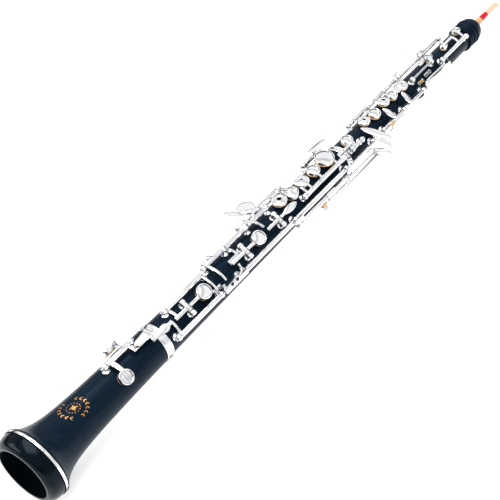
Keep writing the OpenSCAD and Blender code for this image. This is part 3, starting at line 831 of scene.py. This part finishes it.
# ---- crowned touches over the flat ones ----
# Pointed ovals: [name, x, angle, distance from the bore, length, width, yaw, roll, body]
LEAF_TOUCHES = (
    ("bflat_touch", 397.6, 73.5, 27.8, 16, 7, 90, -60.5, "bflat_lever"),
    ("left_csharp_touch", 390.6, 81.6, 30.8, 16.4, 6.7, 90, -81.6, "left_csharp_lever"),
    ("left_eflat_touch", 397.4, 98, 25.6, 16, 7, 90, -98, "left_eflat_lever"),
    ("c_touch", 259.4, -56.3, 27.4, 17, 6.4, 99, 56.3, "c_lever"),
    ("low_c_touch", 287.2, 38, 17.8, 16, 5, 0, 0, "f_key"),
    ("eflat_touch", 272.6, -58, 25.2, 15, 14.4, 0, 58, "eflat_key"),
    ("side_trill_touch", 354, -25, 23.4, 24, 5, -6, 0, "side_trill_key"),
    ("gsharp_touch", 402.5, 56.2, 20.7, 26, 7, 103, -42.4, "gsharp_key"),
    ("trill_touch_1", 431.6, 46, 17, 13, 5, 112, 0, "gsharp_key"),
    ("trill_touch_2", 458.6, 49, 17, 12, 5, 98, 0, "high_trill_key"),
    ("thumb_touch", 500, -174, 16, 16, 9, 0, 0, "thumb_octave_key"),
    ("d_trill_touch", 529, -64, 17.6, 13, 6, 90, 14, "d_trill_key"),
    ("d_trill_tail", 508.6, -4, 15.4, 14, 4.4, 20, 0, "d_trill_key"))
# Long drops: [name, x, angle, distance, length, width at the bell's end, at the other, tilt, body]
DROP_TOUCHES = (
    ("octave_touch", 506.2, 69, 17.1, 35, 9.6, 7, 1.6, "octave_key"),
    ("bell_key_tail", 119, 17, 21.6, 15, 4.5, 7, 0, "bell_key"))
# How much longer and wider than its table each oval is, and how much where its neighbour is close
TOUCH_GROW = 0.6
CLOSE_GROW = 0.05
CLOSE_TOUCHES = ("bflat_touch", "left_csharp_touch")
# A touch from its underside to its crown: [scale of its outline, height in mm]
TOUCH_RINGS = (
    (1.0, -0.55), (1.035, -0.2), (1.03, 0.25), (0.97, 0.68),
    (0.88, 0.92), (0.7, 1.12), (0.45, 1.26), (0.2, 1.32))


def crowned_plate(made, outline, place):
    """Adds a plate on an outline of (x, y) in mm, with a rounded rim and a crowned top."""
    rings = []
    for scale, height in TOUCH_RINGS:
        ring = [Vector((x * scale, y * scale, height)) * MM for x, y in outline]
        rings.append([made.verts.new(place @ corner) for corner in ring])
    count = len(outline)
    for low, high in zip(rings, rings[1:]):
        for k in range(count):
            n = (k + 1) % count
            made.faces.new((low[k], low[n], high[n], high[k]))
    made.faces.new(rings[0][::-1])
    made.faces.new(rings[-1])


def oval_outline(length, width, steps=36):
    """The pointed oval of two arcs, with its points a little rounded."""
    points = []
    for k in range(steps):
        turn = 2 * math.pi * k / steps
        x = length / 2 * math.cos(turn)
        y = width / 2 * math.copysign(abs(math.sin(turn)) ** 1.25, math.sin(turn))
        points.append((x, y))
    return points


def drop_outline(length, low_width, high_width, steps=12):
    """A long drop: a round end of each width, joined by straight sides."""
    low_r, high_r = low_width / 2, high_width / 2
    points = []
    for k in range(steps + 1):
        turn = math.pi / 2 + math.pi * k / steps
        points.append((-length / 2 + low_r + low_r * math.cos(turn), low_r * math.sin(turn)))
    for k in range(steps + 1):
        turn = -math.pi / 2 + math.pi * k / steps
        points.append((length / 2 - high_r + high_r * math.cos(turn), high_r * math.sin(turn)))
    return points


def touch_place(x, angle, radius, yaw, roll):
    rolled = at(x, angle, radius) @ Matrix.Rotation(math.radians(roll), 4, "X")
    return rolled @ Matrix.Rotation(math.radians(yaw), 4, "Z")


def make_touches():
    for name, x, angle, radius, length, width, yaw, roll, body in LEAF_TOUCHES:
        made = bmesh.new()
        grow = CLOSE_GROW if name in CLOSE_TOUCHES else TOUCH_GROW
        outline = oval_outline(length + grow, width + grow)
        crowned_plate(made, outline, touch_place(x, angle, radius, yaw, roll))
        add_piece(name, made, body, "silver_plate")
    for name, x, angle, radius, length, low_width, high_width, tilt, body in DROP_TOUCHES:
        made = bmesh.new()
        place = at(x, angle, radius) @ Matrix.Rotation(math.radians(tilt), 4, "Y")
        crowned_plate(made, drop_outline(length, low_width, high_width), place)
        add_piece(name, made, body, "silver_plate")


# ---- turned beads on the crown ----
# [x of the bead's middle, its largest radius, its half width], in mm
CROWN_BEADS = ((575.9, 12.3, 0.9), (579.6, 11.6, 0.7), (584.2, 12.2, 0.9), (589.6, 12.45, 1.2))


def make_crown_beads():
    made = bmesh.new()
    for x, radius, half in CROWN_BEADS:
        place = Matrix.Translation((x * MM, 0, 0)) @ Matrix.Rotation(math.pi / 2, 4, "Y")
        arc = [math.pi * k / 8 for k in range(9)]
        outline = [(radius - 0.45 + 0.45 * math.sin(a), -half * math.cos(a)) for a in arc]
        outline = [(radius - 1.6, -half), *outline, (radius - 1.6, half)]
        lathe(made, outline, place, 96)
    add_piece("crown_beads", made, FIXED, "blackwood")


# ---- dark bands of painted shade for the grooves beside the bell's ring ----
GROOVE_WIDTH = 0.55
GROOVE_DEPTH = 0.9


def make_ring_grooves():
    low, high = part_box("bell_ring")
    radius = high.z / MM
    made = bmesh.new()
    for middle in (low.x / MM + GROOVE_WIDTH * 0.4, high.x / MM - GROOVE_WIDTH * 0.4):
        place = Matrix.Translation((middle * MM, 0, 0)) @ Matrix.Rotation(math.pi / 2, 4, "Y")
        half = GROOVE_WIDTH / 2
        # painted shade: each groove is a band of the near-black lining
        lathe(made, [(radius - GROOVE_DEPTH, -half), (radius - 0.02, -half), (radius + 0.03, 0),
                     (radius - 0.02, half), (radius - GROOVE_DEPTH, half)], place, 128)
    add_piece("bell_ring_groove_shade", made, FIXED, "blackwood", SHADE_LINING)


# ---- cork and felt blocks ----
# [name, x, angle, distance from the bore, length, width, height, body, material]
CORK_BLOCKS = (
    ("eflat_lever_cork", 321.5, 98.5, 18.4, 9.0, 4.6, 2.3, "left_eflat_lever", "cork"),
    ("side_lever_cork", 428.4, 76, 17.0, 6.0, 2.6, 1.2, "gsharp_key", "cork"),
    ("side_lever_felt", 424.0, 84, 16.6, 5.0, 2.6, 1.4, "gsharp_key", "black"),
    ("coupling_felt", 341.0, 79, 18.4, 9.0, 3.2, 1.6, FIXED, "black"),
    ("low_c_arm_cork", 240.4, 36, 15.3, 2.6, 2.8, 1.5, "low_c_key", "cork"),
    ("bell_tail_cork", 119.0, 17, 20.2, 9.0, 3.2, 1.2, "bell_key", "black"))
# The blocks' corners, as a share of their narrower side, and the rounding of their edges in mm
BLOCK_CORNER = 0.25
BLOCK_EDGE = 0.15
# A black cork under one wide touch, both a real cork and a painted shade for the dark gap under it: its
# share of the touch's outline, and how deep its two faces are
SHADE_CORKED_TOUCH = "eflat_touch"
TOUCH_SHADE_CORK_SCALE = 0.9
TOUCH_SHADE_CORK_DEPTHS = (2.2, 0.5)


def make_corks():
    touch = next(row for row in LEAF_TOUCHES if row[0] == SHADE_CORKED_TOUCH)
    name, x, angle, radius, length, width, yaw, roll, body = touch
    made = bmesh.new()
    outline = oval_outline(length * TOUCH_SHADE_CORK_SCALE, width * TOUCH_SHADE_CORK_SCALE)
    deep, shallow = TOUCH_SHADE_CORK_DEPTHS
    prism(made, outline, touch_place(x, angle, radius, yaw, roll), -deep, -shallow)
    # painted shade: the black cork under the touch stands for the shade beneath it
    add_piece(name + "_cork", made, body, "cork", BLACK_CORK)
    for name, x, angle, radius, length, width, height, body, kind in CORK_BLOCKS:
        made = bmesh.new()
        corner = min(length, width) * BLOCK_CORNER
        outline = []
        for sx, sy, start in ((1, 1, 0), (-1, 1, 90), (-1, -1, 180), (1, -1, 270)):
            for k in range(5):
                turn = math.radians(start + 22.5 * k)
                outline.append((sx * (length / 2 - corner) + corner * math.cos(turn),
                                sy * (width / 2 - corner) + corner * math.sin(turn)))
        prism(made, outline, at(x, angle, radius), 0, height)
        add_piece(name, made, body, "cork", BLACK_CORK if kind == "black" else None, BLOCK_EDGE)


# ---- small springs and adjusting screws ----
# Coil springs: [name, x of one end, angle, distance, length, radius, wire radius, turns, slot]
SPRINGS = (
    ("octave_spring", 494.6, 43, 14.4, 8.0, 1.4, 0.3, 5, "steel"),
    ("trill_spring", 482.6, 48, 14.3, 6.4, 1.2, 0.27, 4, "staple_brass"))
SPRING_STEPS = 18


def add_spring(name, x, angle, radius, length, coil, wire, turns, slot):
    """A small coil spring that lies along the bore between two end plates."""
    start = at(x, angle, radius)
    steps = turns * SPRING_STEPS
    points = []
    for k in range(steps + 1):
        turn = 2 * math.pi * turns * k / steps
        spot = Vector((length * k / steps, coil * math.cos(turn), coil * math.sin(turn))) * MM
        points.append(start @ spot)
    add_wire(name, points, wire, FIXED, slot)
    ends = bmesh.new()
    for along, turn in ((0, -90), (length, 90)):
        place = start @ Matrix.Translation((along * MM, 0, 0))
        place = place @ Matrix.Rotation(math.radians(turn), 4, "Y")
        lathe(ends, [(0, -0.2), (coil + 0.5, -0.2), (coil + 0.6, 0.1), (coil + 0.5, 0.4), (0.7, 0.5),
                     (0.6, 0.9), (0, 0.95)], place, 28)
    add_piece(name + "_ends", ends, FIXED, "silver_plate")


# Adjusting screws: [x, angle, distance from the bore, radius, the body that they sit in]
ADJUSTERS = (
    (200.4, 64.5, 22.4, 0.95, "bflat_lever"), (206.4, 64.5, 22.4, 0.95, "bflat_lever"),
    (366.0, 30, 18.1, 0.8, "fsharp_key"), (310.0, 30, 18.0, 0.8, "e_key"),
    (227.0, 28, 16.3, 0.8, "c_lever"), (492.0, 69, 17.7, 0.9, "octave_key"))


# The lever whose blued screws sit in dark seats of painted shade, and how deep every head sits
BLUED_BODY = "bflat_lever"
HEAD_SUNK = 0.25


def make_adjusters():
    for count, (x, angle, radius, size, body) in enumerate(ADJUSTERS):
        made = bmesh.new()
        place = at(x, angle, radius) @ Matrix.Rotation(0.7 + count, 4, "Z")
        slotted_head(made, place @ Matrix.Translation((0, 0, -HEAD_SUNK * MM)), size, 0.8, 0.3)
        finish = BLUED if body == BLUED_BODY else None
        add_piece(f"adjusting_screw_{count}", made, body, "steel", finish, 0.04)
        if body != BLUED_BODY:
            continue
        # painted shade: a near-black ring round each blued screw
        seat = bmesh.new()
        inner, outer = size * 0.8, size + 0.5
        lathe(seat, [(inner, -0.1), (outer, -0.1), (outer, 0.12), (inner, 0.16)], place, 28)
        add_piece(f"screw_shade_seat_{count}", seat, body, "blackwood", SHADE_LINING)


make_pads()
make_finger_holes()
make_axle_heads()
make_winding()
make_blades()
make_ornament()
make_adjusters()
make_touches()
make_plate_rings()
make_crown_beads()
make_ring_grooves()
make_corks()
for row in SPRINGS:
    add_spring(*row)


# ---- floor, light and background ----
FLOOR_SIZE = 6
FLOOR_X = 0.3
FLOOR_GAP = 0.0001
FLOOR_GLOW = 0.55
# What the camera sees behind the floor, and the studio's bright side in reflections
BACKDROP = (0.96, 0.96, 0.97, 1)
SIDE_LEVEL = (0.8, 0.8, 0.81, 1)
# Brightness of the studio by height: [0 at straight down to 1 at straight up, the level there]
STUDIO_LEVELS = (
    (0.0, 0.9), (0.49, 0.9), (0.505, 0.02), (0.60, 0.05), (0.66, 0.75),
    (0.72, 1.0), (0.86, 1.0), (0.9, 0.5), (0.93, 1.2))
# Where the direction's Y passes from the first to the second, the bright side fades in
BRIGHT_SIDE = (-0.66, -0.78)
# Area lights: [name, place, target, size, power], in metres and watts
LIGHTS = (
    ("soft_top", (0.2, 0.1, 1.3), (0.3, 0, 0), (1.2, 0.8), 16),
    ("soft_left", (-0.6, 0.7, 0.6), (0.25, 0, 0), (0.8, 0.5), 7))


def make_floor():
    data = bpy.data.meshes.new("floor")
    made = bmesh.new()
    bmesh.ops.create_grid(made, x_segments=1, y_segments=1, size=FLOOR_SIZE)
    made.to_mesh(data)
    made.free()
    floor = bpy.data.objects.new("floor", data)
    bpy.context.scene.collection.objects.link(floor)
    floor.location = (FLOOR_X, 0, cad_low.z - FLOOR_GAP)
    s = Shader("floor_paper", IOR=1.3, Roughness=0.8,
               Emission_Color=(1, 1, 1, 1), Emission_Strength=FLOOR_GLOW)
    fibre = s.noise((300, 300, 300), 1.0, 4)
    s.colour(s.ramp(fibre, [(0.3, (0.86, 0.86, 0.86)), (0.7, (0.89, 0.89, 0.89))]))
    paint(floor, s.material)


def area_light(name, place, target, size, power):
    data = bpy.data.lights.new(name, "AREA")
    data.shape = "RECTANGLE"
    data.size, data.size_y = size
    data.energy = power
    lamp = bpy.data.objects.new(name, data)
    bpy.context.scene.collection.objects.link(lamp)
    look = (Vector(target) - Vector(place)).to_track_quat("-Z", "Y").to_matrix().to_4x4()
    lamp.matrix_world = Matrix.Translation(place) @ look
    lamp.visible_camera = False


def make_world():
    """Pale to the camera, and a studio with dark gaps between its lights to the metal's reflections."""
    world = bpy.data.worlds.new("studio")
    bpy.context.scene.world = world
    world.use_nodes = True
    tree = world.node_tree
    make, join = tree.nodes.new, tree.links.new
    background = next(n for n in tree.nodes if n.type == "BACKGROUND")
    split = make("ShaderNodeSeparateXYZ")
    join(make("ShaderNodeTexCoord").outputs["Generated"], split.inputs[0])
    half = make("ShaderNodeMapRange")
    half.inputs["From Min"].default_value = -1.0
    join(split.outputs["Z"], half.inputs["Value"])
    side = make("ShaderNodeMapRange")
    side.inputs["From Min"].default_value = BRIGHT_SIDE[0]
    side.inputs["From Max"].default_value = BRIGHT_SIDE[1]
    join(split.outputs["Y"], side.inputs["Value"])
    ramp = make("ShaderNodeValToRGB")
    join(half.outputs["Result"], ramp.inputs["Fac"])
    points = ramp.color_ramp.elements
    while len(points) < len(STUDIO_LEVELS):
        points.new(0.5)
    for point, (where, level) in zip(points, STUDIO_LEVELS):
        point.position = where
        point.color = (level, level, level, 1)
    lit = make("ShaderNodeMix")
    lit.data_type = "RGBA"
    join(side.outputs["Result"], lit.inputs[0])
    join(ramp.outputs["Color"], lit.inputs[6])
    lit.inputs[7].default_value = SIDE_LEVEL
    seen = make("ShaderNodeMix")
    seen.data_type = "RGBA"
    join(make("ShaderNodeLightPath").outputs["Is Camera Ray"], seen.inputs[0])
    join(lit.outputs[2], seen.inputs[6])
    seen.inputs[7].default_value = BACKDROP
    join(seen.outputs[2], background.inputs["Color"])


make_floor()
make_world()
for row in LIGHTS:
    area_light(*row)
bpy.context.scene.view_settings.view_transform = "Standard"
